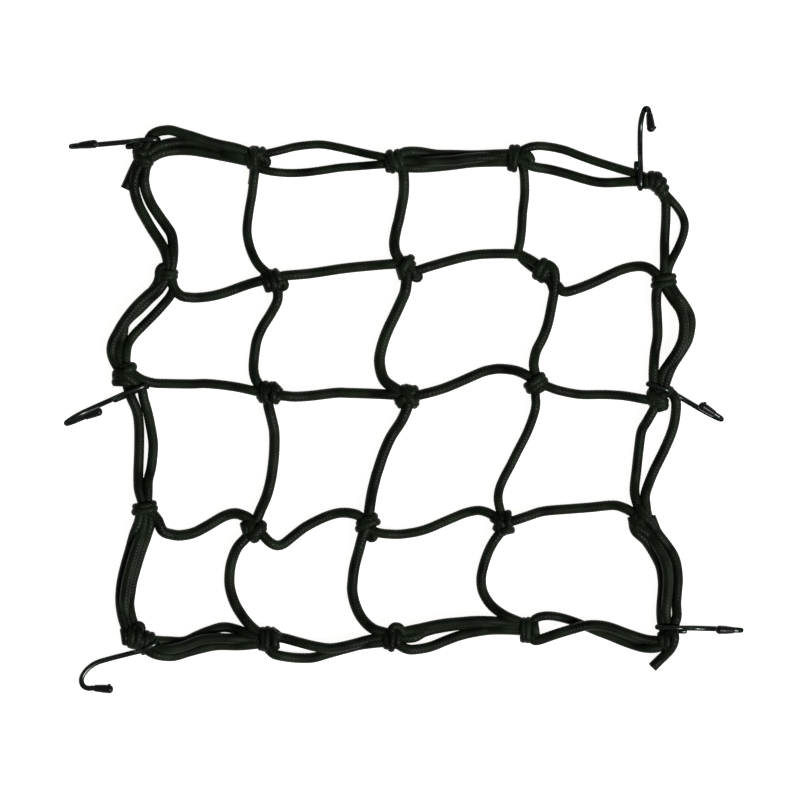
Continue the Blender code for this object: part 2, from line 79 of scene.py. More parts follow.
# The runs of cord from knot to knot, in mm from the picture's middle: how far the middle of a run is lifted
# where it rides on another, how wide it is, as elastic cord gets thinner where it is stretched, and then its
# stations. A knot is named by its column and row: k00 is at the top left and k40 at the top right.
RUNS = (
    # k00 to k10
    (0.0, 5.35, ((-131.8, 128.4), (-128.9, 130.5), (-123.3, 132.7), (-115.1, 133.9), (-106.4, 133.5),
        (-100.0, 131.4), (-91.4, 127.9), (-83.6, 125.7), (-78.8, 124.8))),
    (0.0, 5.35, ((-132.9, 123.8), (-131.0, 125.3), (-125.8, 127.9), (-119.4, 129.2), (-110.8, 129.2),
        (-102.1, 127.9), (-93.5, 126.2), (-84.9, 124.4), (-78.8, 123.2))),
    # k10 to k20
    (0.0, 4.45, ((-74.6, 126.9), (-71.6, 127.5), (-65.4, 128.9), (-56.9, 131.1), (-48.4, 132.2),
        (-41.9, 132.3), (-33.3, 130.8), (-24.6, 128.8), (-17.5, 127.2), (-9.6, 125.6), (-6.5, 125.3))),
    (0.0, 4.45, ((-75.1, 120.6), (-73.4, 119.3), (-67.7, 118.1), (-59.2, 117.5), (-50.5, 117.9),
        (-41.9, 119.0), (-33.3, 120.3), (-24.6, 121.0), (-17.4, 121.5), (-9.6, 122.1), (-6.5, 122.7))),
    # k20 to k30
    (0.0, 5.35, ((-3.4, 126.1), (-1.5, 127.2), (1.6, 128.5), (8.4, 128.5), (17.1, 127.2), (25.7, 127.0),
        (36.5, 126.8), (49.8, 127.2), (55.4, 127.4))),
    (4.6, 5.35, ((-3.4, 123.8), (0.7, 123.6), (8.4, 123.3), (17.1, 123.6), (25.7, 124.0), (34.3, 125.1),
        (42.4, 125.6), (49.8, 125.6), (55.4, 125.3))),
    (0.0, 5.35, ((-3.4, 121.2), (1.1, 120.4), (8.4, 120.2), (17.1, 120.8), (25.7, 121.7), (36.5, 123.0),
        (49.8, 123.3), (55.4, 123.2))),
    # k30 to k40
    (0.0, 4.65, ((59.6, 127.8), (62.8, 129.8), (66.6, 131.2), (71.7, 131.6), (78.1, 130.8), (84.7, 129.2),
        (91.2, 126.7), (99.6, 123.7), (108.2, 121.0), (117.4, 118.2), (123.0, 116.5), (127.1, 114.4))),
    (0.0, 5.15, ((59.0, 124.8), (62.7, 122.7), (68.3, 120.6), (75.9, 119.4), (84.6, 117.2), (93.3, 114.6),
        (99.8, 113.0), (106.2, 112.5), (117.4, 113.0), (123.0, 113.1), (127.1, 112.3))),
    # k00 to k01
    (0.0, 5.55, ((-136.5, 122.2), (-138.8, 118.0), (-139.9, 113.4), (-139.8, 107.6), (-137.6, 100.5),
        (-134.2, 94.1), (-130.9, 88.4), (-127.0, 82.4), (-124.0, 76.9), (-122.5, 71.2), (-123.0, 67.1))),
    (0.0, 5.55, ((-133.9, 121.2), (-134.5, 117.5), (-134.8, 113.5), (-133.8, 107.8), (-131.2, 101.6),
        (-127.5, 95.8), (-123.4, 90.0), (-120.7, 85.5), (-119.7, 79.0), (-119.9, 72.5), (-120.9, 67.1))),
    # k01 to k02
    (4.6, 5.35, ((-124.1, 62.4), (-127.5, 58.6), (-132.7, 54.3), (-138.7, 48.5), (-143.2, 43.1),
        (-146.6, 38.1), (-148.7, 34.3), (-151.1, 29.6), (-151.8, 24.9), (-150.5, 20.1), (-147.9, 15.6))),
    (0.0, 5.35, ((-122.5, 64.0), (-124.0, 61.4), (-127.1, 56.7), (-132.3, 51.8), (-137.5, 46.6),
        (-142.7, 41.9), (-145.3, 38.3), (-145.9, 34.3), (-147.7, 28.6), (-148.5, 23.4), (-147.9, 19.2),
        (-146.4, 15.1))),
    (0.0, 4.95, ((-121.4, 64.5), (-120.1, 61.4), (-119.7, 57.2), (-121.4, 53.4), (-125.3, 48.7),
        (-130.5, 43.1), (-135.9, 37.7), (-140.4, 33.0), (-143.3, 28.2), (-144.1, 23.1), (-144.3, 19.2),
        (-144.3, 15.1))),
    # k02 to k03
    (0.0, 5.35, ((-143.8, 7.8), (-141.8, 1.4), (-138.8, -6.0), (-137.6, -13.5), (-137.5, -25.4),
        (-137.9, -36.9), (-137.9, -42.1), (-137.5, -47.3), (-135.5, -54.1))),
    (0.0, 5.25, ((-140.7, 8.8), (-136.3, 5.2), (-134.9, -0.4), (-132.5, -9.4), (-130.4, -21.1),
        (-130.3, -27.5), (-131.2, -35.6), (-132.7, -42.1), (-132.9, -48.5), (-133.1, -54.1))),
    # k03 to k04
    (0.0, 5.35, ((-136.5, -59.3), (-137.8, -64.5), (-140.2, -70.7), (-142.5, -79.0), (-144.6, -86.3),
        (-146.4, -94.1), (-147.2, -100.4), (-147.2, -106.6), (-145.9, -113.9), (-143.8, -120.1))),
    (4.6, 5.35, ((-134.4, -58.2), (-134.7, -64.5), (-136.8, -71.2), (-139.4, -79.0), (-141.7, -86.8),
        (-143.6, -94.6), (-144.6, -100.9), (-144.9, -106.6), (-143.8, -113.4), (-141.7, -119.6))),
    (0.0, 5.35, ((-132.3, -59.3), (-131.6, -64.5), (-133.7, -71.8), (-136.5, -79.6), (-138.9, -87.4),
        (-141.0, -95.2), (-142.0, -101.4), (-142.5, -106.6), (-141.5, -112.8), (-139.6, -119.1))),
    # k04 to k14
    (0.0, 5.35, ((-137.0, -123.2), (-130.3, -125.3), (-122.6, -126.0), (-114.1, -126.1), (-107.4, -123.2),
        (-101.5, -120.8), (-93.8, -118.7), (-86.4, -120.0), (-79.8, -122.7), (-73.6, -124.3))),
    (4.6, 5.35, ((-136.5, -125.3), (-130.3, -128.4), (-122.6, -129.9), (-114.1, -128.4), (-105.8, -125.3),
        (-98.0, -124.3), (-90.2, -124.4), (-82.4, -124.7), (-73.6, -125.3))),
    (0.0, 5.35, ((-136.0, -128.4), (-129.2, -132.6), (-120.4, -133.8), (-112.1, -131.6), (-105.8, -129.9),
        (-97.2, -128.2), (-86.4, -128.2), (-79.8, -127.7), (-73.6, -126.9))),
    # k14 to k24
    (4.6, 5.35, ((-66.3, -123.8), (-62.3, -124.3), (-54.1, -126.5), (-45.4, -128.6), (-38.2, -129.5),
        (-32.0, -128.7), (-25.3, -127.1), (-18.5, -125.3), (-10.7, -123.8))),
    (0.0, 5.35, ((-70.5, -129.5), (-67.9, -132.1), (-64.8, -133.3), (-56.3, -134.6), (-47.6, -134.6),
        (-41.1, -132.9), (-35.6, -131.3), (-28.9, -129.5), (-22.6, -127.9), (-17.4, -127.1),
        (-10.1, -126.4))),
    # k24 to k34
    (4.6, 5.35, ((-3.4, -121.8), (3.4, -120.3), (8.6, -119.2), (15.7, -117.6), (22.6, -116.5),
        (29.4, -115.9), (37.2, -115.3), (45.0, -115.4), (51.7, -116.0), (60.6, -117.0))),
    (0.0, 5.35, ((-3.4, -124.0), (4.9, -124.0), (11.2, -121.1), (19.0, -119.1), (29.4, -117.6),
        (39.8, -117.0), (51.7, -118.0), (60.6, -118.6))),
    (0.0, 5.35, ((-3.9, -126.9), (0.6, -129.5), (4.9, -130.3), (13.5, -129.0), (22.2, -125.6),
        (29.4, -123.0), (37.2, -121.2), (45.0, -120.1), (51.7, -119.9), (60.6, -120.1))),
    # k34 to k44
    (0.0, 4.75, ((66.5, -117.1), (68.9, -114.0), (74.3, -112.7), (81.6, -113.6), (90.2, -116.3),
        (99.6, -120.4), (107.4, -123.4), (116.0, -126.9), (124.6, -129.5), (131.5, -129.5),
        (135.5, -127.9))),
    (4.6, 5.35, ((65.8, -123.2), (67.9, -125.3), (70.8, -125.1), (79.4, -122.1), (88.0, -119.5),
        (94.4, -117.8), (100.6, -117.5), (107.4, -118.7), (118.1, -122.6), (126.8, -125.2),
        (134.9, -125.8))),
    # k40 to k41
    (0.0, 5.05, ((134.4, 107.1), (136.3, 102.4), (136.4, 100.4), (136.4, 92.3), (135.8, 81.5),
        (135.7, 70.8), (135.5, 64.5))),
    (0.0, 4.55, ((134.4, 108.7), (138.2, 104.3), (142.3, 99.7), (145.2, 95.1), (146.3, 90.2), (145.3, 84.6),
        (142.8, 78.5), (140.1, 73.4), (138.0, 68.6), (137.0, 64.5))),
    # k41 to k42
    (0.0, 5.35, ((132.9, 58.8), (131.6, 55.6), (131.4, 49.8), (132.0, 41.2), (132.1, 32.6), (130.7, 24.0),
        (130.0, 15.3), (130.0, 8.8))),
    (4.6, 5.35, ((136.0, 59.3), (136.9, 56.7), (140.1, 51.7), (143.7, 46.5), (145.4, 41.2), (145.7, 36.9),
        (144.8, 30.4), (141.9, 24.2), (138.1, 18.6), (134.9, 13.5), (133.7, 7.8))),
    (0.0, 5.35, ((138.6, 59.8), (141.7, 54.6), (145.3, 49.9), (148.2, 45.2), (149.4, 41.1), (149.2, 36.4),
        (147.7, 30.2), (144.0, 23.8), (140.1, 17.9), (137.8, 13.0), (136.0, 7.8))),
    # k42 to k43
    (0.0, 5.25, ((130.8, -3.1), (129.9, -5.7), (126.7, -11.4), (123.8, -16.9), (122.4, -26.3),
        (121.2, -37.0), (120.1, -47.2), (121.1, -53.3), (123.5, -58.8))),
    (0.0, 5.35, ((135.5, 3.1), (139.2, 3.0), (141.6, -1.3), (141.4, -9.0), (139.6, -16.9), (135.6, -26.5),
        (130.6, -36.7), (127.0, -45.4), (125.6, -50.6), (126.1, -56.7))),
    # k43 to k44
    (0.0, 5.35, ((119.3, -62.9), (120.6, -68.6), (126.0, -73.7), (130.3, -80.2), (133.6, -87.0),
        (134.8, -94.0), (134.8, -99.6), (134.0, -109.5), (134.4, -116.4), (136.0, -121.7))),
    (4.6, 5.35, ((123.0, -64.5), (127.4, -69.4), (131.5, -75.9), (135.1, -82.3), (137.0, -88.8),
        (137.4, -95.3), (137.0, -101.7), (136.4, -110.3), (137.0, -116.5), (138.1, -121.7))),
    (0.0, 5.35, ((129.2, -62.9), (131.8, -69.2), (135.9, -74.6), (139.8, -80.2), (141.9, -85.7),
        (142.8, -93.1), (142.5, -98.7), (141.9, -106.0), (142.1, -112.5), (141.0, -116.8),
        (140.1, -121.7))),
    # k01 to k11
    (0.0, 5.35, ((-120.4, 60.3), (-118.3, 56.1), (-115.2, 53.5), (-111.0, 52.8), (-107.4, 52.7),
        (-100.6, 53.4), (-92.9, 55.3), (-82.6, 59.0), (-73.6, 61.6), (-69.4, 61.9))),
    # k11 to k21
    (0.0, 5.35, ((-64.7, 62.4), (-62.6, 63.9), (-48.6, 65.3), (-27.7, 68.3), (-4.4, 70.3), (-0.8, 70.2))),
    # k21 to k31
    (0.0, 5.15, ((3.9, 66.6), (6.2, 66.5), (14.3, 69.1), (24.7, 72.1), (32.2, 74.0), (39.8, 75.2),
        (50.2, 75.6), (57.9, 75.4), (61.1, 74.9), (65.3, 72.8), (68.9, 70.5), (72.0, 68.1), (74.6, 65.3))),
    # k31 to k41
    (0.0, 5.35, ((80.6, 58.2), (82.6, 56.1), (86.6, 56.1), (97.2, 59.9), (107.5, 64.7), (112.7, 67.0),
        (118.3, 68.6), (123.8, 69.0), (128.1, 67.7), (132.0, 64.3), (133.9, 61.9))),
    # k02 to k12
    (0.0, 5.05, ((-141.7, 14.0), (-138.6, 11.7), (-135.5, 9.9), (-129.8, 8.3), (-123.4, 8.0), (-111.0, 7.8),
        (-103.2, 8.0), (-95.4, 7.4), (-86.8, 6.2), (-76.9, 4.1), (-72.0, 3.1))),
    # k12 to k22
    (0.0, 5.45, ((-67.3, 2.3), (-63.1, 1.8), (-56.6, 1.2), (-48.0, 1.7), (-35.1, 3.2), (-27.8, 3.1),
        (-17.4, 2.8), (-6.2, 2.3), (-0.3, 2.1))),
    # k22 to k32
    (0.0, 5.35, ((4.4, 1.8), (8.8, 2.2), (19.6, 5.1), (28.3, 8.5), (39.9, 13.6), (45.0, 15.1), (50.5, 15.7),
        (58.5, 14.7), (64.8, 11.9), (67.3, 9.9))),
    # k32 to k42
    (0.0, 4.95, ((71.5, 7.3), (74.3, 6.7), (80.9, 4.4), (91.5, 2.4), (102.2, 2.3), (107.4, 2.2),
        (115.2, 1.6), (126.3, -0.3), (129.7, -0.5))),
    # k03 to k13
    (0.0, 5.75, ((-130.8, -59.3), (-127.7, -63.1), (-125.1, -68.7), (-120.0, -70.6), (-115.6, -70.9),
        (-109.1, -69.6), (-102.4, -66.2), (-93.6, -61.1), (-87.7, -59.5), (-83.0, -60.7), (-80.0, -62.4),
        (-78.3, -65.0))),
    # k13 to k23
    (0.0, 5.35, ((-75.3, -68.8), (-73.0, -70.8), (-69.8, -74.2), (-66.2, -76.1), (-62.4, -75.3),
        (-57.3, -71.3), (-50.8, -66.4), (-42.0, -61.9), (-35.6, -59.7), (-30.1, -59.1), (-24.5, -60.1),
        (-21.0, -62.3))),
    # k23 to k33
    (0.0, 5.05, ((-15.9, -68.6), (-12.2, -69.7), (-7.6, -70.2), (-1.2, -70.3), (7.4, -69.0), (13.8, -67.0),
        (18.9, -64.8), (25.6, -61.9), (32.1, -59.3), (38.4, -58.0), (43.1, -58.8), (47.4, -61.0),
        (49.7, -62.4))),
    # k33 to k43
    (0.0, 5.25, ((54.3, -64.0), (57.9, -63.1), (64.5, -60.9), (72.9, -58.4), (86.6, -57.2), (97.0, -56.4),
        (109.0, -55.3), (114.9, -56.7), (118.5, -58.6), (121.9, -60.3))),
    # k10 to k11
    (0.0, 4.95, ((-76.7, 122.7), (-77.2, 118.8), (-78.0, 112.4), (-78.9, 105.9), (-80.4, 97.3),
        (-81.4, 88.2), (-80.5, 81.2), (-78.2, 74.6), (-75.0, 69.3), (-70.2, 64.8))),
    # k11 to k12
    (0.0, 5.35, ((-66.1, 58.6), (-65.3, 55.5), (-65.7, 50.7), (-68.8, 44.7), (-73.2, 37.7), (-76.0, 31.4),
        (-77.2, 25.5), (-78.0, 16.9), (-77.1, 11.0), (-74.6, 6.8), (-72.0, 5.2))),
    # k12 to k13
    (0.0, 5.65, ((-70.2, -0.5), (-70.2, -3.4), (-68.3, -11.3), (-67.2, -17.6), (-67.3, -28.4),
        (-68.7, -40.3), (-71.0, -49.8), (-74.2, -57.5), (-76.3, -62.7), (-77.3, -65.5))),
    # k13 to k14
    (0.0, 5.55, ((-80.1, -69.9), (-82.0, -72.3), (-86.2, -77.0), (-88.7, -82.4), (-90.2, -88.6),
        (-90.4, -97.1), (-87.9, -105.8), (-83.5, -113.2), (-78.2, -119.2), (-73.6, -122.2))),
    # k20 to k21
    (0.0, 5.65, ((-1.3, 121.7), (-0.2, 118.4), (0.3, 112.4), (0.0, 105.9), (-1.2, 99.4), (-2.5, 92.9),
        (-3.7, 88.3), (-4.8, 81.6), (-4.1, 76.0), (-1.3, 71.5))),
    # k21 to k22
    (0.0, 5.95, ((2.3, 65.5), (1.7, 61.9), (0.8, 55.7), (-1.5, 50.2), (-4.4, 43.9), (-7.9, 36.6),
        (-10.2, 30.7), (-11.7, 25.4), (-12.5, 19.9), (-11.5, 13.4), (-9.1, 8.9), (-3.8, 5.1), (-0.8, 3.6))),
    # k22 to k23
    (0.0, 5.75, ((2.3, -1.6), (2.0, -4.3), (-1.0, -11.2), (-6.5, -19.7), (-10.3, -28.2), (-13.2, -36.8),
        (-14.3, -40.3), (-16.4, -49.0), (-17.7, -57.5), (-18.0, -62.4))),
    # k23 to k24
    (0.0, 5.65, ((-19.5, -68.1), (-21.0, -70.5), (-23.1, -78.3), (-25.4, -86.9), (-26.4, -94.2),
        (-26.6, -100.2), (-24.9, -107.5), (-21.4, -114.3), (-15.9, -119.4), (-8.9, -121.7))),
    # k30 to k31
    (0.0, 4.95, ((59.5, 125.8), (61.9, 121.2), (62.9, 114.5), (63.0, 105.9), (62.0, 97.3), (61.4, 88.2),
        (60.6, 81.6), (59.8, 77.5), (61.6, 73.3), (65.3, 69.9), (69.4, 66.8), (73.1, 63.7), (76.4, 60.6),
        (77.7, 57.2))),
    # k31 to k32
    (0.0, 5.35, ((78.3, 66.0), (78.7, 62.4), (78.7, 59.3), (78.3, 55.6), (76.8, 47.3), (75.3, 40.0),
        (73.6, 34.7), (71.9, 30.7), (69.0, 24.9), (67.7, 18.6), (68.2, 14.3), (68.9, 10.4))),
    # k32 to k33
    (0.0, 4.85, ((68.6, 4.2), (68.6, 1.4), (68.8, -3.0), (67.5, -9.0), (64.1, -17.9), (59.2, -27.5),
        (55.6, -34.7), (52.6, -40.3), (50.0, -46.4), (49.2, -52.0), (50.4, -58.5), (51.2, -61.4))),
    # k33 to k34
    (0.0, 5.25, ((51.2, -67.1), (50.7, -68.9), (47.1, -73.8), (44.1, -79.6), (41.5, -87.3), (40.4, -94.1),
        (41.5, -100.7), (45.8, -107.4), (52.5, -112.4), (60.6, -116.0))),
)  # fmt: skip


def led_through(stations, step):
    """Points about a step apart, along a smooth line through the stations."""
    held = np.asarray(stations, float)
    held = np.vstack((2 * held[0] - held[1], held, 2 * held[-1] - held[-2]))
    t = np.linspace(0, 1, SPAN_POINTS, endpoint=False)[:, None]
    spans = []
    for p0, p1, p2, p3 in zip(held, held[1:], held[2:], held[3:]):
        bow = 2 * p0 - 5 * p1 + 4 * p2 - p3
        swing = 3 * p1 - p0 - 3 * p2 + p3
        spans.append(p1 + 0.5 * ((p2 - p0) * t + bow * t**2 + swing * t**3))
    fine = np.vstack((*spans, held[-2]))
    along = np.concatenate(([0.0], np.cumsum(np.linalg.norm(np.diff(fine, axis=0), axis=1))))
    count = max(LEAST_STEPS, round(along[-1] / step))
    places = np.linspace(0, along[-1], count + 1)
    return np.stack([np.interp(places, along, fine[:, axis]) for axis in range(3)], axis=1)


def unit(rows):
    """Each row as a direction of length 1."""
    return rows / np.maximum(np.linalg.norm(rows, axis=1, keepdims=True), 1e-9)


def braided(line, outward, wide=CORD, thick=CORD):
    """Points, faces and braid places of a cord along a line. outward: the way that thick is measured."""
    ways = unit(np.gradient(line, axis=0))
    up = unit(outward - (outward * ways).sum(1, keepdims=True) * ways)
    side = np.cross(ways, up)
    ring, yarn = np.meshgrid(np.arange(len(line)), np.arange(CARRIERS), indexing="ij")
    around = 2 * math.pi * yarn / CARRIERS
    stands = YARN_RELIEF * np.where((ring + yarn) % 2, -1, 1)
    across = (wide / 2 + stands) * np.cos(around)
    over = (thick / 2 + stands) * np.sin(around)
    points = line[:, None] + across[..., None] * side[:, None] + over[..., None] * up[:, None]
    here = (ring[:-1] * CARRIERS + yarn[:-1]).ravel()
    beside = (ring[:-1] * CARRIERS + (yarn[:-1] + 1) % CARRIERS).ravel()
    faces = np.stack((here, beside, beside + CARRIERS, here + CARRIERS), axis=1)
    first, turn = ring[:-1].ravel(), yarn[:-1].ravel()
    corners = [np.stack((turn + a, first + b), axis=1) for a, b in ((0, 0), (1, 0), (1, 1), (0, 1))]
    places = np.stack(corners, axis=1)
    return points.reshape(-1, 3), faces, places


def cord_mesh(name, tubes, finish):
    """One piece out of several braided tubes, each closed at both ends."""
    points, faces, places, ends, start = [], [], [], [], 0
    for tube_points, tube_faces, tube_places in tubes:
        last = start + len(tube_points) - CARRIERS
        points.append(tube_points)
        faces.append(tube_faces + start)
        places.append(tube_places)
        ends.append(np.arange(start, start + CARRIERS)[::-1])
        ends.append(np.arange(last, last + CARRIERS))
        start += len(tube_points)
    points = (np.vstack(points) - MIDDLE) * MM
    mesh = bpy.data.meshes.new(name)
    mesh.from_pydata(points.tolist(), [], np.vstack(faces).tolist() + [end.tolist() for end in ends])
    laid = mesh.uv_layers.new(name="braid")
    flat = np.vstack(places).reshape(-1, 2)
    flat = np.vstack((flat, np.zeros((CARRIERS * len(ends), 2))))
    laid.uv.foreach_set("vector", flat.astype(np.float32).ravel())
    mesh.polygons.foreach_set("use_smooth", np.ones(len(mesh.polygons), bool))
    mesh.materials.append(finish)
    made = bpy.data.objects.new(name, mesh)
    bpy.context.scene.collection.objects.link(made)
    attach(made, "root")
    return made


def linear(hex_colour):
    """An sRGB colour as the linear one that a shader takes."""
    parts = [int(hex_colour[i : i + 2], 16) / 255 for i in (1, 3, 5)]
    return (*((p / 12.92 if p <= 0.04045 else ((p + 0.055) / 1.055) ** 2.4) for p in parts), 1.0)


def add(tree, kind, sockets=None, **settings):
    """Adds a node. sockets: what each input is set to, or the output that it is linked to."""
    made = tree.nodes.new(kind)
    for key, value in settings.items():
        setattr(made, key, value)
    for key, value in (sockets or {}).items():
        if isinstance(value, bpy.types.NodeSocket):
            tree.links.new(value, made.inputs[key])
        else:
            made.inputs[key].default_value = value
    return made


def blank(name):
    """A new material with its shader, ready for its nodes."""
    made = bpy.data.materials.new(name)
    made.use_nodes = True
    return made, made.node_tree, made.node_tree.nodes["Principled BSDF"]


FUZZ_WAVES = 1600.0  # a metre, so 0.6 mm each: loose fibres are 0.02 mm thick, too fine to show
WEAR_WAVES = 90.0  # a metre, so a patch that is more worn is about 11 mm long
FUZZ_HEIGHT = 0.5  # beside the height of a yarn, which is 1


def braided_polyester():
    """Black spun-dyed polyester, braided: matt and a little fuzzy, with a soft sheen along the cord."""
    made, tree, shader = blank("braided_polyester")
    laid = add(tree, "ShaderNodeUVMap", uv_map="braid")
    parts = add(tree, "ShaderNodeSeparateXYZ", {0: laid.outputs[0]})
    turn, length = parts.outputs[0], parts.outputs[1]

    def maths(operation, a, b=0.0):
        return add(tree, "ShaderNodeMath", {0: a, 1: b}, operation=operation).outputs[0]

    # The yarns wind both ways round the cord, and at each crossing the ones that lie on top take turns.
    one_way = maths("MULTIPLY", maths("SUBTRACT", turn, length), 0.5 * math.pi)
    other_way = maths("MULTIPLY", maths("ADD", turn, length), 0.5 * math.pi)
    ridge_one = maths("ABSOLUTE", maths("COSINE", one_way))
    ridge_other = maths("ABSOLUTE", maths("COSINE", other_way))
    on_top = maths("MULTIPLY_ADD", maths("COSINE", maths("MULTIPLY", length, math.pi)), 0.5)
    on_top.node.inputs[2].default_value = 0.5
    ridges = {"Factor": on_top, "A": ridge_other, "B": ridge_one}
    weave = add(tree, "ShaderNodeMix", ridges, data_type="FLOAT").outputs["Result"]
    place = add(tree, "ShaderNodeTexCoord").outputs["Object"]
    fibres = {"Vector": place, "Scale": FUZZ_WAVES, "Detail": 3.0, "Roughness": 0.7}
    fuzz = add(tree, "ShaderNodeTexNoise", fibres)
    wear = add(tree, "ShaderNodeTexNoise", {"Vector": place, "Scale": WEAR_WAVES, "Detail": 2.0})
    fuzzed = {0: fuzz.outputs[0], 1: FUZZ_HEIGHT, 2: weave}
    height = add(tree, "ShaderNodeMath", fuzzed, operation="MULTIPLY_ADD").outputs[0]
    bump = add(tree, "ShaderNodeBump", {"Strength": 0.5, "Distance": 0.00022, "Height": height})
    # Painted shade and wear: the colour is darker in the hollows between the yarns and lighter on their
    # crowns, as light would fall on them, and it also varies with the worn patches.
    braid_shade_and_wear = maths("MULTIPLY", weave, wear.outputs[0])
    colour = add(tree, "ShaderNodeValToRGB", {0: braid_shade_and_wear})
    colour.color_ramp.elements[0].position = 0.2
    colour.color_ramp.elements[0].color = linear("#030402")
    colour.color_ramp.elements[1].position = 0.6
    colour.color_ramp.elements[1].color = linear("#182114")
    tree.links.new(colour.outputs[0], shader.inputs["Base Color"])
    tree.links.new(bump.outputs[0], shader.inputs["Normal"])
    shader.inputs["Roughness"].default_value = 0.42
    shader.inputs["Specular IOR Level"].default_value = 0.055
    return made


def smooth(share):
    """0 to 1 with an easy start and an easy end."""
    share = np.clip(share, 0.0, 1.0)
    return share * share * (3 - 2 * share)


def run_line(lifted, wide, stations):
    """A run of cord from one knot to the next: its middle line, its upper side, and its two widths."""
    held = np.array(stations)
    into = unit(held[[0, -1]] - held[[1, -2]]) * INTO_KNOT
    route = np.vstack((held[0] + into[0], held, held[-1] + into[1]))
    line = led_through([(x, y, 0.0) for x, y in route], PICK)
    along = np.linspace(0, len(line) * PICK, len(line))
    down = smooth((np.minimum(along, along[-1] - along) - HELD) / COMES_DOWN)
    line[:, 2] = wide / 2 + YARN_RELIEF + CORD_RISE * (1 - down) + lifted * down
    return line, UP, wide, wide


cord_finish = braided_polyester()
cords = cord_mesh("net_cords", [braided(*run_line(*run)) for run in RUNS], cord_finish)
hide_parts("net")

# ------------------------------------------------------------------- knots
# Where two cords meet, one is tied round the other and pulled tight, which makes each turn thin and flat. No
# two knots came out alike: their turns cross, lie side by side or lean, and some leave a bight.
TURN_THICK = 3.1  # a turn is pressed this thick, mm
TURN_SQUARED = 0.8  # 1 is a round turn, less is flatter on top
TURN_STEPS = 14
TABLE_GAP = 0.1  # a knot's underside clears the table by this
BIGHT_WIDE = 4.2
BIGHT_DEEP = 3.8
BIGHT_CORE = 0.4  # share of the way to its tip, where a bight's cord turns its flat side
BIGHT_LOOP = (
    # share of the way to the tip, share of the spread to its side, and mm above the bight's height
    (0.2, 1.0, 1.2),
    (0.6, 1.05, 1.2),
    (0.9, 0.75, 0.6),
    (1.0, 0.0, 0.0),
    (0.9, -0.75, -0.5),
    (0.6, -1.05, -0.9),
    (0.2, -1.0, -0.9),
)

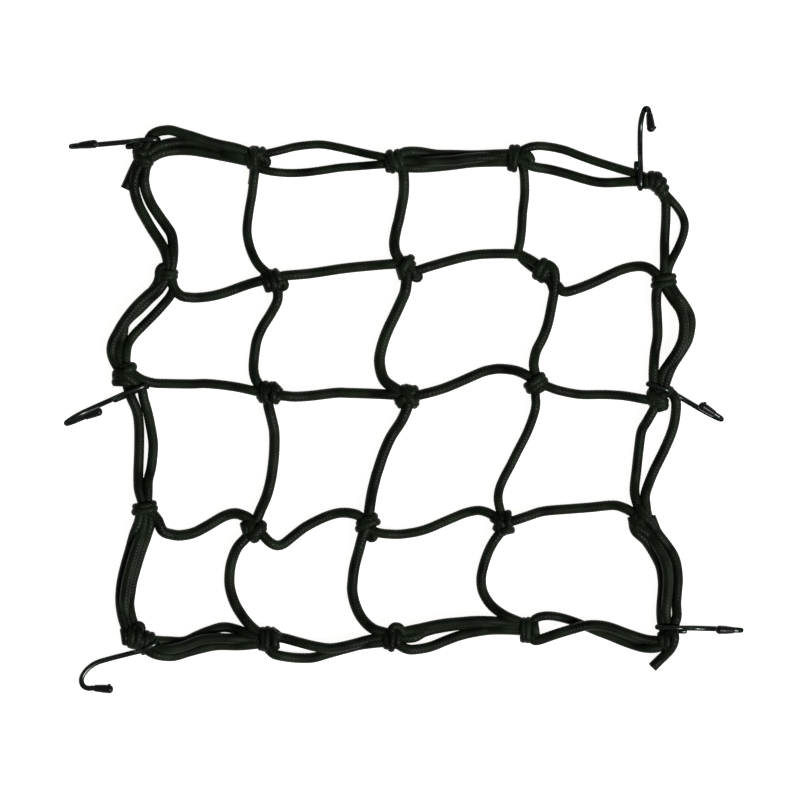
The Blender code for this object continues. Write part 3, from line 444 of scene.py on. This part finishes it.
# A knot is its middle, its turns and its bights, in mm from that middle. A turn goes over the top from its
# first side to its second and back underneath. top: the height of its middle line. bow: how far it bends
# aside on the way over. A bight stands out from the knot as far as its tip. spread: half the gap of its legs.
KNOTS = (
    # middle, then turns (x1, y1, x2, y2, top, wide, bow), then bights (x, y, spread, height)
    ((-135.5, 125.3), (  # corner, under the first hook
        (-4.0, 3.6, 2.2, 2.4, 8.4, 4.65, 0.6), (-3.6, 0.8, 4.2, -2.8, 9.2, 3.85, 0.0),
        (-3.0, -1.6, 3.0, -4.8, 8.4, 3.85, 0.0),
    ), ()),
    ((-76.7, 125.3), (
        (-4.2, -1.0, 3.8, 4.2, 8.8, 4.25, 0.8), (-2.6, 4.4, 4.8, -1.2, 8.0, 4.25, 0.0),
        (-4.6, 2.2, -2.6, -4.4, 7.8, 4.45, 0.0), (-0.2, 4.9, 0.8, -1.4, 8.4, 4.05, 0.0),
    ), ((6.0, -2.6, 1.7, 5.4),)),
    ((-4.9, 123.8), (
        (-2.6, 4.4, 2.6, -4.6, 9.8, 4.05, 0.6), (-1.4, 2.8, -0.8, -5.2, 8.8, 3.45, 0.0),
        (-3.6, 0.6, -2.8, -4.8, 7.8, 3.65, 0.0), (1.6, 4.8, 4.4, -3.6, 8.0, 4.05, 0.0),
    ), ()),
    ((57.5, 125.3), (
        (1.6, 5.6, -0.2, -6.1, 9.6, 3.65, 0.3), (-0.9, 5.6, -2.0, -5.6, 8.8, 3.65, 0.0),
        (-1.8, 2.6, -2.6, -3.4, 7.8, 3.65, 0.0),
    ), ()),
    ((129.7, 112.3), (  # corner, beside the second hook
        (-3.6, 3.8, -3.9, -1.8, 8.6, 4.05, -0.6), (-0.7, 4.9, -1.2, -2.0, 9.6, 4.65, -0.8),
        (2.4, 4.6, 1.0, -3.3, 9.9, 4.85, -0.6), (5.0, 1.9, 2.8, -5.4, 9.4, 4.65, -0.4),
        (6.5, -1.9, 4.6, -7.2, 8.4, 4.45, 0.0),
    ), ()),
    ((-123.0, 64.5), (
        (-3.8, 1.8, 4.6, 1.2, 8.8, 3.65, 0.4), (-4.2, -0.6, 4.4, -0.8, 8.4, 3.65, 0.3),
        (-3.4, 3.6, -4.2, -2.4, 7.6, 4.45, -1.0),
    ), ()),
    ((-67.3, 61.4), (
        (-5.2, 3.0, -2.6, -4.6, 8.6, 4.85, -0.6), (-2.6, 4.6, 0.6, -4.6, 9.0, 4.65, -0.4),
        (0.2, 5.0, 4.2, 0.4, 9.2, 4.25, 0.8), (4.6, 1.2, 0.6, -4.4, 8.2, 4.25, 0.4),
    ), ((5.8, -2.8, 1.7, 5.4),)),
    ((1.8, 68.1), (
        (2.4, 5.6, -3.2, -3.6, 10.2, 4.05, 0.6), (-4.4, 2.0, -2.4, -5.0, 8.2, 4.45, -0.8),
        (-0.8, 4.8, 5.4, -4.6, 8.8, 4.25, 0.4), (2.8, 2.6, -0.6, -5.0, 8.0, 4.25, 0.0),
    ), ((6.2, -5.4, 1.5, 4.6),)),
    ((73.6, 65.5), (  # two cords twisted round each other, and not pulled tight
        (0.0, 6.4, -4.8, -2.2, 9.2, 4.45, 0.8), (2.2, 3.6, -2.4, -3.6, 8.2, 4.65, 0.4),
    ), ()),
    ((135.5, 60.8), (
        (-5.2, 1.2, 5.0, 3.0, 8.8, 3.55, 0.3), (-5.6, -1.8, 5.2, 0.2, 9.2, 3.75, 0.4),
    ), ()),
    ((-144.8, 12.0), (  # under the third hook
        (4.8, 5.2, -4.4, 1.6, 8.8, 4.45, -1.0), (-4.8, -1.2, 1.6, 4.8, 9.4, 4.25, 1.0),
        (-5.5, -3.2, 4.2, -3.4, 8.4, 4.45, 0.0), (-4.0, 4.4, 3.4, 5.4, 7.8, 4.05, 0.0),
    ), ()),
    ((-69.9, 3.6), (
        (-1.8, 4.6, -0.8, -5.6, 9.9, 3.85, 1.0), (1.6, 4.0, -4.0, -4.2, 8.9, 3.85, 0.4),
        (-4.8, 2.2, -4.6, -2.8, 7.6, 4.25, -0.6), (2.4, 4.0, 5.6, 0.6, 8.4, 4.05, 0.6),
        (6.0, -0.6, 3.4, -5.0, 8.0, 4.05, 0.4), (1.2, 3.2, 2.6, -4.6, 9.3, 4.55, 0.0),
    ), ()),
    ((1.8, 1.6), (
        (-2.2, 4.4, 4.8, -4.4, 9.8, 4.05, 0.6), (4.4, 4.0, -4.8, -3.6, 8.9, 4.05, -0.4),
        (-5.4, -0.8, -3.2, -5.0, 7.6, 4.05, -0.4), (5.6, 0.4, 3.6, -5.2, 7.8, 4.05, 0.4),
        (-0.6, 4.6, 4.2, 3.2, 8.2, 3.85, 0.6),
    ), ()),
    ((68.9, 7.8), (
        (-5.0, -1.2, 3.4, 4.6, 9.4, 4.15, 0.6), (-3.8, -3.4, 4.8, 2.2, 9.0, 3.95, 0.2),
        (-0.6, -4.4, 4.2, -1.8, 7.8, 3.75, -0.2),
    ), ()),
    ((132.3, 1.0), (  # under the fourth hook
        (-4.4, 2.8, 4.0, -2.6, 9.6, 4.55, 0.8), (4.4, 2.4, -4.0, -3.0, 8.8, 4.55, 0.0),
        (-2.8, -4.4, 4.2, -4.2, 8.4, 4.25, -0.6), (-4.6, 0.4, -1.4, -5.8, 7.9, 4.25, -0.4),
        (0.4, -6.2, 3.8, -5.0, 7.2, 3.85, 0.0), (-3.6, 3.6, 4.4, 4.0, 8.0, 4.65, 0.8),
    ), ()),
    ((-134.4, -57.2), (
        (-5.2, 1.2, 4.8, 3.0, 8.8, 3.55, 0.4), (-5.6, -1.6, 5.4, 0.6, 9.2, 3.75, 0.4),
    ), ()),
    ((-77.7, -68.1), (
        (-5.4, 3.2, -3.8, -2.2, 8.2, 4.45, -0.8), (-3.0, 4.8, 0.6, -5.4, 8.8, 4.85, -0.6),
        (4.9, 3.4, -2.2, -4.2, 9.9, 4.65, -0.8), (2.6, 4.6, 5.0, 0.2, 8.0, 4.05, 0.6),
    ), ()),
    ((-18.5, -65.5), (
        (-4.8, 0.6, 3.8, 4.8, 8.8, 3.95, 0.5), (-5.2, -2.2, 5.2, 1.8, 9.5, 3.95, -0.8),
    ), ((2.4, -7.2, 1.8, 4.6),)),
    ((51.7, -64.0), (
        (2.6, 5.0, 3.4, -3.4, 9.5, 3.95, 0.3), (-5.2, 2.0, 1.4, -2.4, 8.8, 4.55, -0.4),
        (-0.6, -5.2, 4.8, -4.0, 8.2, 4.25, -0.8), (0.2, 4.6, -3.6, -3.6, 8.2, 4.25, -0.6),
        (4.6, 1.2, 0.2, -5.6, 7.8, 4.05, 0.4),
    ), ()),
    ((125.1, -61.4), (
        (-6.0, 0.4, 2.6, 2.2, 7.6, 4.25, -1.2), (-6.6, -3.2, 4.2, -0.8, 8.2, 4.65, -0.8),
        (-5.0, 2.6, -4.4, -4.6, 7.9, 4.45, -0.6),
    ), ()),
    ((-140.1, -123.2), (  # corner, over the fifth hook
        (1.6, 6.0, -0.4, -5.4, 9.9, 4.25, -2.4), (-5.2, 3.2, -4.2, -3.6, 8.0, 4.65, -0.6),
        (3.8, 0.8, 2.2, -6.0, 9.0, 4.05, -1.2), (6.6, 1.6, 5.6, -6.4, 8.8, 4.05, -0.6),
        (9.2, 0.8, 8.4, -6.4, 8.0, 3.85, 0.0), (-1.3, 4.4, -1.5, -5.0, 9.4, 4.65, -0.6),
    ), ((3.4, 5.8, 1.8, 6.8),)),
    ((-69.4, -124.8), (
        (-3.8, 5.0, -3.2, -5.0, 8.8, 3.55, 0.0), (-1.2, 5.4, -1.6, -5.4, 9.4, 3.75, 0.3),
        (1.0, 4.6, 5.6, 0.8, 8.8, 4.35, 0.8), (2.0, 2.8, 3.0, -4.4, 8.0, 4.55, 0.3),
        (-5.4, -1.4, -4.6, -4.6, 7.2, 3.85, 0.0),
    ), ()),
    ((-6.0, -124.3), (
        (0.4, 4.8, -0.4, -5.8, 9.6, 3.75, 0.0), (-3.2, 3.6, -2.6, -4.6, 8.0, 4.25, 0.0),
        (3.0, 3.4, 2.6, -4.4, 7.8, 4.25, 0.0),
    ), ()),
    ((65.3, -120.1), (
        (-2.8, 5.2, -3.0, -5.2, 8.8, 3.75, 0.0), (-0.3, 5.4, -0.8, -5.4, 9.4, 3.75, 0.3),
        (2.8, 3.8, 3.6, -2.6, 7.9, 4.35, 0.3),
    ), ()),
    ((138.6, -125.3), (  # corner, under the sixth hook
        (-4.6, 3.2, -4.0, -3.4, 8.4, 4.45, 0.0), (-1.4, 3.8, -1.6, -4.2, 8.9, 4.45, 0.2),
        (1.2, 3.6, 0.2, -3.8, 7.8, 4.25, 0.0),
    ), ()),
)  # fmt: skip

# Cords that lead out of a knot on their own way, in mm from the middle of the picture.
LEADS = (
    # wide, then x, y and height at each station
    (CORD, (  # from the first knot up through the eye of the first hook, and along the border
        (-138.2, 126.0, 5.6), (-137.6, 128.4, 6.4), (-135.0, 129.4, 6.2), (-133.4, 132.0, 5.8),
        (-132.4, 134.8, 5.7), (-130.6, 137.4, 5.9), (-127.4, 139.0, 6.3), (-124.0, 139.6, 6.8),
        (-120.7, 139.6, 7.3), (-115.1, 138.0, 7.5), (-108.6, 136.1, 7.6), (-102.1, 133.9, 7.4),
        (-95.7, 132.2, 7.0), (-87.1, 130.4, 6.4), (-79.8, 127.9, 5.6),
    )),
    (4.4, (  # the middle cord, over the second knot
        (-78.1, 129.9, 5.5), (-77.9, 128.3, 8.6), (-77.6, 125.3, 9.4), (-77.5, 122.3, 8.6),
        (-77.9, 118.8, 5.6), (-78.3, 115.3, 3.2), (-78.9, 111.5, 2.5),
    )),
    (4.8, (  # out of the fourth knot, and back under the cord beside it
        (59.4, 125.4, 5.0), (61.8, 127.0, 6.8), (64.8, 126.6, 7.0), (66.2, 124.2, 6.4),
        (64.8, 122.2, 5.6), (62.4, 121.4, 4.8),
    )),
    (4.6, (  # round the left of the next knot down
        (-122.5, 69.0, 5.0), (-125.5, 68.6, 6.8), (-127.0, 66.4, 7.2), (-127.2, 63.3, 6.8),
        (-128.5, 59.8, 5.4), (-131.2, 56.0, 4.4),
    )),
    (5.1, (  # the upper cord of the loose knot
        (72.6, 69.5, 5.0), (75.6, 69.7, 7.2), (78.2, 67.0, 7.8), (78.9, 62.5, 7.2), (78.3, 57.5, 6.0),
        (77.8, 53.0, 4.2), (77.2, 49.0, 2.7),
    )),
    (4.3, (  # over the knot at the third hook and into the net
        (-149.4, 11.0, 5.0), (-149.2, 13.6, 8.0), (-146.8, 13.6, 9.8), (-143.3, 11.4, 9.6),
        (-139.8, 8.6, 7.8), (-136.3, 7.4, 5.4), (-132.8, 7.2, 3.4),
    )),
    (4.2, (  # a loop over the top of the border knot below the second line
        (-5.8, -122.5, 8.4), (-6.4, -119.9, 8.6), (-4.8, -118.1, 8.0), (-2.0, -118.5, 7.6),
        (-0.4, -120.9, 7.0), (0.8, -123.0, 5.2),
    )),
    (4.6, (  # over the knot below the fourth hook, and down its right side
        (121.0, -51.0, 3.0), (121.9, -55.1, 6.0), (123.3, -58.5, 8.6), (125.2, -61.4, 9.4),
        (127.8, -63.4, 8.8), (129.9, -66.4, 7.0), (131.2, -69.6, 4.8),
    )),
    (4.6, (  # a fold beside that knot
        (118.7, -62.4, 5.6), (120.5, -65.6, 7.4), (125.6, -69.4, 6.8), (129.6, -72.9, 5.0),
        (132.1, -76.4, 3.4),
    )),
)  # fmt: skip


def flattened(part, power):
    """A cosine or sine that squares off the circle it belongs to. power: 1 leaves it round."""
    return math.copysign(abs(part) ** power, part)


def turn_of_cord(middle, x1, y1, x2, y2, top, wide, bow):
    """A turn of cord round a knot: its middle line, and the way out of the knot at each of its points."""
    first, second = (np.array((middle[0] + x, middle[1] + y, 0.0)) for x, y in ((x1, y1), (x2, y2)))
    across = (first - second) / 2
    aside = np.array((-across[1], across[0], 0.0)) / np.linalg.norm(across)
    low = TURN_THICK / 2 + TABLE_GAP
    centre = (first + second) / 2 + UP * (low + top) / 2
    stations = []
    for step in range(TURN_STEPS + 1):
        angle = 2 * math.pi * step / TURN_STEPS - math.pi / 2
        reach = flattened(math.cos(angle), TURN_SQUARED)
        rise = flattened(math.sin(angle), TURN_SQUARED)
        bent = aside * bow * max(0.0, math.sin(angle))
        stations.append(centre + across * reach + UP * rise * (top - low) / 2 + bent)
    line = led_through(stations, PICK)
    return line, line - centre, wide, TURN_THICK


def bight_of_cord(middle, x, y, spread, height):
    """A bight that stands out of a knot: its middle line and the way outwards."""
    tip = np.array((x, y, 0.0))
    beside = np.array((-y, x, 0.0)) / math.hypot(x, y) * spread
    base = np.array((*middle, 0.0))
    stations = []
    for share, side, rise in BIGHT_LOOP:
        stations.append(base + tip * share + beside * side + UP * (height + rise))
    line = led_through(stations, PICK)
    core = base + tip * BIGHT_CORE + UP * (height - BIGHT_DEEP)
    return line, line - core, BIGHT_WIDE, BIGHT_DEEP


tied = []
for middle, turns, bights in KNOTS:
    tied.extend(braided(*turn_of_cord(middle, *turn)) for turn in turns)
    tied.extend(braided(*bight_of_cord(middle, *bight)) for bight in bights)
for wide, stations in LEADS:
    tied.append(braided(led_through(stations, PICK), UP, wide, min(wide, BIGHT_WIDE)))
knots = cord_mesh("net_knots", tied, cord_finish)
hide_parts("net")

# -------------------------------------------------------------- cut ends
# The two ends of the cord stick out of the first and the last knot. They are cut with a hot knife, which
# melts the cover a little, so that it doesn't fray.
CUT_ENDS = (
    # x, y and height of each station, from the knot to the cut
    (
        (-137.0, 124.8, 5.8), (-138.9, 121.8, 5.4), (-140.9, 117.8, 4.0), (-142.8, 113.5, 2.9),
        (-144.7, 109.2, 2.8),
    ),
    (
        (135.6, -121.5, 5.5), (138.8, -120.7, 8.0), (140.6, -122.8, 8.8), (140.4, -126.2, 8.4),
        (138.9, -129.6, 6.9), (136.5, -132.5, 5.0), (133.2, -135.8, 3.2), (129.4, -139.6, 2.8),
    ),
)  # fmt: skip
ends = cord_mesh("net_ends", [braided(led_through(end, PICK), UP) for end in CUT_ENDS], cord_finish)
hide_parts("net")

# ------------------------------------------------------------------- hooks
# Six hooks of steel wire, bent cold: an eye pinched round the border cords with its cut end beside the shank,
# a straight shank, and an open bend. They are enamelled gloss black, which rounds the edge of the cut end.
WIRE = 2.75  # diameter with its enamel, mm
WIRE_SIDES = 20
WIRE_STEP = 0.7
WIRE_BASE = 0.15  # gap between the wire and the table
CUT_ROUNDED = (0.62, 0.92)  # of the wire's radius, at the cut end and a step in from it
EYE_STEPS = 16
EYE_FLAT = 0.6  # 1 is a round eye, less is flatter
EYE_OPENS = 46.0  # degrees either side of the shank that the eye leaves open
EYE_CROSSED = 0.45  # share of the eye, from its cut end, by which the wire lies in line with the shank
STUB_LEAD = 0.6  # the cut end's stub runs straight from this far out of the eye
SHANK_RISE = 0.3  # the shank's height over the wire's lowest place
SHANK_LEAD = ((1.4, 0.62), (5.0, 0.2), (9.5, 0.04))  # reach and rise of the shank's way down from its eye
BEND_MIDDLE = 8.0  # rise above which the bend comes back along the shank
WIRE_IN_TIP = 6.2  # length of the wire inside its cap
TIP_OPENS = 18.0  # degrees by which the capped end leans away from the shank
OFF_AXIS = (0.31, 0.52, 0.80)  # a way that no wire or cap takes, from which to start a ring of points

# heading: the way the shank runs, degrees from +X. roll: 0 is the bend lying flat, 90 upright. side: 1 where
# the bend turns to the left of the shank. eye: the way across the cords, its width and its top. stub: how far
# the cut end runs out. apart: how far it lies to the left of the shank. back: how far the capped end comes
# back along the shank, as a share of the even bend below.
HOOKS = (
    # name   shank_x shank_y heading length roll side eye  width  top  stub apart back
    ("hook_1", -137.3, 134.3, 185.2, 35.3, 90, 1, 183.5, 9.8, 9.6, 7.5, 2.5, 0.72),
    ("hook_2", 123.1, 121.6, 90.0, 29.3, 70, -1, 90.0, 12.2, 9.6, 2.2, 1.9, 0.45),
    ("hook_3", -146.8, 1.9, 204.0, 31.7, 78, 1, 202.0, 14.2, 9.6, 5.0, 1.0, 1.75),
    ("hook_4", 138.3, 4.2, -30.5, 30.4, 84, 1, -18.0, 11.6, 9.6, 2.0, 1.4, 0.7),
    ("hook_5", -135.4, -130.6, 194.5, 35.2, 3, 1, 210.0, 8.6, 9.6, 2.0, 1.4, 0.9),
    ("hook_6", 145.8, -119.0, -2.0, 29.4, 90, 1, -2.0, 13.8, 9.6, 1.8, -1.8, 0.6),
)
BEND = (
    # reach  rise, from the straight shank to the mouth of the tip cap
    (-16.2, 0.0),
    (-9.7, 0.4),
    (-4.7, 2.3),
    (-1.2, 5.2),
    (0.0, 7.9),
    (-0.5, 10.5),
    (-2.7, 12.1),
    (-5.7, 12.7),
)


def level(degrees):
    """A direction along the table, in degrees from +X."""
    return np.array((math.cos(math.radians(degrees)), math.sin(math.radians(degrees)), 0.0))


def hook_line(shank_x, shank_y, heading, length, roll, side, eye, width, top, stub, apart, back):
    """Stations of a hook's wire: stub, eye, shank and bend, and the mouth and way of its capped end."""
    out = level(heading)
    left = np.array((-out[1], out[0], 0.0))
    bend_up = left * side * math.cos(math.radians(roll)) + UP * math.sin(math.radians(roll))
    across = level(eye)
    along = np.array((-across[1], across[0], 0.0)) * apart
    low = WIRE_BASE + WIRE / 2
    start = np.array((shank_x, shank_y, low + SHANK_RISE))
    middle = start - across * width / 2
    middle[2] = (low + top) / 2
    beside = start + along
    line = [beside + out * stub, beside + out * STUB_LEAD]
    for step in range(EYE_STEPS + 1):
        share = step / EYE_STEPS
        angle = -math.radians(EYE_OPENS + (360 - 2 * EYE_OPENS) * share)
        line.append(
            middle
            + across * width / 2 * flattened(math.cos(angle), EYE_FLAT)
            + UP * (top - low) / 2 * flattened(math.sin(angle), EYE_FLAT)
            + along * (1 - smooth(share / EYE_CROSSED))
        )
    line.extend(start + out * reach + UP * (top - low) * rise for reach, rise in SHANK_LEAD)
    end = start + out * length
    for reach, rise in BEND:
        comes_back = back if rise > BEND_MIDDLE else 1
        line.append(end + out * reach * comes_back + bend_up * rise)
    opens = math.radians(TIP_OPENS)
    tip_way = -out * math.cos(opens) + bend_up * math.sin(opens)
    mouth = line[-1]
    line.append(mouth + tip_way * WIRE_IN_TIP)
    return line, mouth, tip_way


def ring_faces(rings, sides):
    """Faces between rings of points, and one across each end."""
    faces = []
    for ring in range(0, (rings - 1) * sides, sides):
        for side in range(sides):
            beside = (side + 1) % sides
            faces.append((ring + side, ring + beside, ring + sides + beside, ring + sides + side))
    faces.append(tuple(range(sides))[::-1])
    faces.append(tuple(range((rings - 1) * sides, rings * sides)))
    return faces


def turned(line, radii, sides):
    """Points and faces of a round piece along a line, closed at both ends."""
    line = np.asarray(line, float)
    ways = unit(np.gradient(line, axis=0))
    up = np.cross(ways[0], OFF_AXIS)
    points = []
    for centre, way, radius in zip(line, ways, radii):
        up = up - up.dot(way) * way
        up /= np.linalg.norm(up)
        right = np.cross(up, way)
        turn = 2 * math.pi * np.arange(sides)[:, None] / sides
        points.append(centre + radius * (np.cos(turn) * right + np.sin(turn) * up))
    return np.vstack(points), ring_faces(len(line), sides)


def solid(name, points, faces, finish):
    """A smooth piece out of its points in mm and its faces."""
    mesh = bpy.data.meshes.new(name)
    mesh.from_pydata(((points - MIDDLE) * MM).tolist(), [], faces)
    mesh.polygons.foreach_set("use_smooth", np.ones(len(mesh.polygons), bool))
    mesh.materials.append(finish)
    made = bpy.data.objects.new(name, mesh)
    bpy.context.scene.collection.objects.link(made)
    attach(made, "root")
    return made


PEEL_WAVES = 1200.0  # a metre, so the enamel's orange peel has waves of about 0.8 mm
SCUFF_WAVES = 260.0  # a metre, so a scuff is about 4 mm


def enamelled_steel():
    """Thin black enamel on bright steel wire: a dark mirror, deepest at its edges, with a slight peel."""
    made, tree, shader = blank("black_enamelled_steel")
    place = add(tree, "ShaderNodeTexCoord").outputs["Object"]
    peel = add(tree, "ShaderNodeTexNoise", {"Vector": place, "Scale": PEEL_WAVES, "Detail": 2.0})
    rubbed = {"Vector": place, "Scale": SCUFF_WAVES, "Detail": 4.0, "Roughness": 0.7}
    scuffs = add(tree, "ShaderNodeTexNoise", rubbed)
    bump = add(tree, "ShaderNodeBump", {"Strength": 0.15, "Distance": 0.00005, "Height": peel.outputs[0]})
    colour = add(tree, "ShaderNodeValToRGB", {0: scuffs.outputs[0]})
    colour.color_ramp.elements[0].color = linear("#2a2f2b")
    colour.color_ramp.elements[1].color = linear("#363b37")
    duller = {"Value": scuffs.outputs[0], "From Min": 0.3, "From Max": 0.8, "To Min": 0.2, "To Max": 0.3}
    rough = add(tree, "ShaderNodeMapRange", duller)
    tree.links.new(colour.outputs[0], shader.inputs["Base Color"])
    tree.links.new(rough.outputs[0], shader.inputs["Roughness"])
    shader.inputs["Metallic"].default_value = 1.0
    shader.inputs["Specular Tint"].default_value = linear("#000000")
    tree.links.new(bump.outputs[0], shader.inputs["Normal"])
    return made


wire_finish = enamelled_steel()
tip_places = {}
for name, *row in HOOKS:
    stations, mouth, tip_way = hook_line(*row)
    line = led_through(stations, WIRE_STEP)
    radii = np.full(len(line), WIRE / 2)
    radii[:2] = WIRE / 2 * np.array(CUT_ROUNDED)
    hook = solid(f"{name}_wire", *turned(line, radii, WIRE_SIDES), wire_finish)
    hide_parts(name)
    tip_places[name.replace("hook", "tip")] = (mouth, tip_way)

# ---------------------------------------------------------------- tip caps
# The free end of each hook is dipped in black vinyl, so that it doesn't scratch: a soft sleeve that starts
# with a thick lip, widens away from the bend and ends in a ball. On some a small nib shows where a drip hung.
TIP_SIDES = 28
TIP_PROFILE = (
    # along  radius, mm, from inside the sleeve, round its lip and out to the end of the ball
    (6.0, 1.34),
    (0.6, 1.34),
    (0.5, 1.55),
    (0.6, 1.74),
    (1.0, 1.81),
    (3.0, 1.97),
    (5.0, 2.15),
    (6.2, 2.22),
    (6.9, 2.17),
    (7.6, 2.26),
    (8.4, 2.31),
    (9.2, 2.13),
    (9.9, 1.62),
    (10.3, 0.90),
    (10.45, 0.2),
)
NIBS = {"tip_2": 1, "tip_4": -1, "tip_5": 1}  # the caps on which a nib shows, and its side
NIB_PLACE = 8.2  # from the mouth of the cap to its ball, where the nib hangs
NIB_SIDES = 12
NIB_PROFILE = ((0.6, 1.3), (1.8, 1.2), (2.3, 0.85), (2.7, 0.55), (2.9, 0.2))  # from the cap's middle line
SAG_WAVES = 420.0  # a metre, so the vinyl's sags are about 2.4 mm


def dipped_vinyl():
    """Soft black vinyl, dipped and cured: satin beside the enamel, and slightly uneven."""
    made, tree, shader = blank("dipped_vinyl")
    place = add(tree, "ShaderNodeTexCoord").outputs["Object"]
    sags = add(tree, "ShaderNodeTexNoise", {"Vector": place, "Scale": SAG_WAVES, "Detail": 2.0})
    bump = add(tree, "ShaderNodeBump", {"Strength": 0.35, "Distance": 0.00012, "Height": sags.outputs[0]})
    colour = add(tree, "ShaderNodeValToRGB", {0: sags.outputs[0]})
    colour.color_ramp.elements[0].color = linear("#070808")
    colour.color_ramp.elements[1].color = linear("#121413")
    tree.links.new(colour.outputs[0], shader.inputs["Base Color"])
    tree.links.new(bump.outputs[0], shader.inputs["Normal"])
    shader.inputs["Roughness"].default_value = 0.28
    shader.inputs["Specular IOR Level"].default_value = 0.1
    return made


def lathed(start, way, profile, sides):
    """Points and faces of a piece that is round about a straight axis, from its distances along and radii."""
    side = np.cross(way, OFF_AXIS)
    side /= np.linalg.norm(side)
    up = np.cross(way, side)
    angles = 2 * math.pi * np.arange(sides)[:, None] / sides
    ring = np.cos(angles) * side + np.sin(angles) * up
    points = np.vstack([start + along * way + radius * ring for along, radius in profile])
    return points, ring_faces(len(profile), sides)


vinyl = dipped_vinyl()
for name, (mouth, way) in tip_places.items():
    points, faces = lathed(mouth, way, TIP_PROFILE, TIP_SIDES)
    if name in NIBS:
        aside = NIBS[name] * np.cross(UP, way)
        aside /= np.linalg.norm(aside)
        nib, nib_faces = lathed(mouth + NIB_PLACE * way, aside, NIB_PROFILE, NIB_SIDES)
        faces += [tuple(len(points) + corner for corner in face) for face in nib_faces]
        points = np.vstack((points, nib))
    cap = solid(f"{name}_cap", points, faces, vinyl)
    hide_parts(name)

# --------------------------------------------------------- table and light
# The net is laid on a light table: a white opal sheet lit from below, so that it throws next to no shadow. A
# window on the right, towards the front, lights the cords from the side.
TABLE_SIZE = 6.0  # m
TABLE_GLOW = 0.92  # 1 is the white of the picture
ROOM_LIGHT = 0.26
WINDOW_LIGHT = 4.8  # W/m2
WINDOW_SPREAD = 20.0  # degrees across, seen from the table
WINDOW_FROM = (0.54, -0.38, 0.75)  # the way from the net to the window

table_mesh = bpy.data.meshes.new("table_top")
half = TABLE_SIZE / 2
corners = [(-half, -half, 0), (half, -half, 0), (half, half, 0), (-half, half, 0)]
table_mesh.from_pydata(corners, [], [(0, 1, 2, 3)])
table = bpy.data.objects.new("table_top", table_mesh)
bpy.context.scene.collection.objects.link(table)
opal, tree, shader = blank("opal_acrylic")
shader.inputs["Base Color"].default_value = linear("#a8a8a6")
shader.inputs["Roughness"].default_value = 0.9
shader.inputs["Specular IOR Level"].default_value = 0.1
shader.inputs["Emission Color"].default_value = linear("#fffffc")
shader.inputs["Emission Strength"].default_value = TABLE_GLOW
table_mesh.materials.append(opal)

studio = bpy.data.worlds.new("studio")
studio.use_nodes = True
studio.node_tree.nodes["Background"].inputs[0].default_value = linear("#f6f8ff")
studio.node_tree.nodes["Background"].inputs[1].default_value = ROOM_LIGHT
bpy.context.scene.world = studio

window = bpy.data.lights.new("window", "SUN")
window.energy = WINDOW_LIGHT
window.angle = math.radians(WINDOW_SPREAD)
window_frame = bpy.data.objects.new("window", window)
window_frame.rotation_euler = Vector(WINDOW_FROM).to_track_quat("Z", "Y").to_euler()
bpy.context.scene.collection.objects.link(window_frame)

bpy.context.scene.view_settings.view_transform = "Standard"
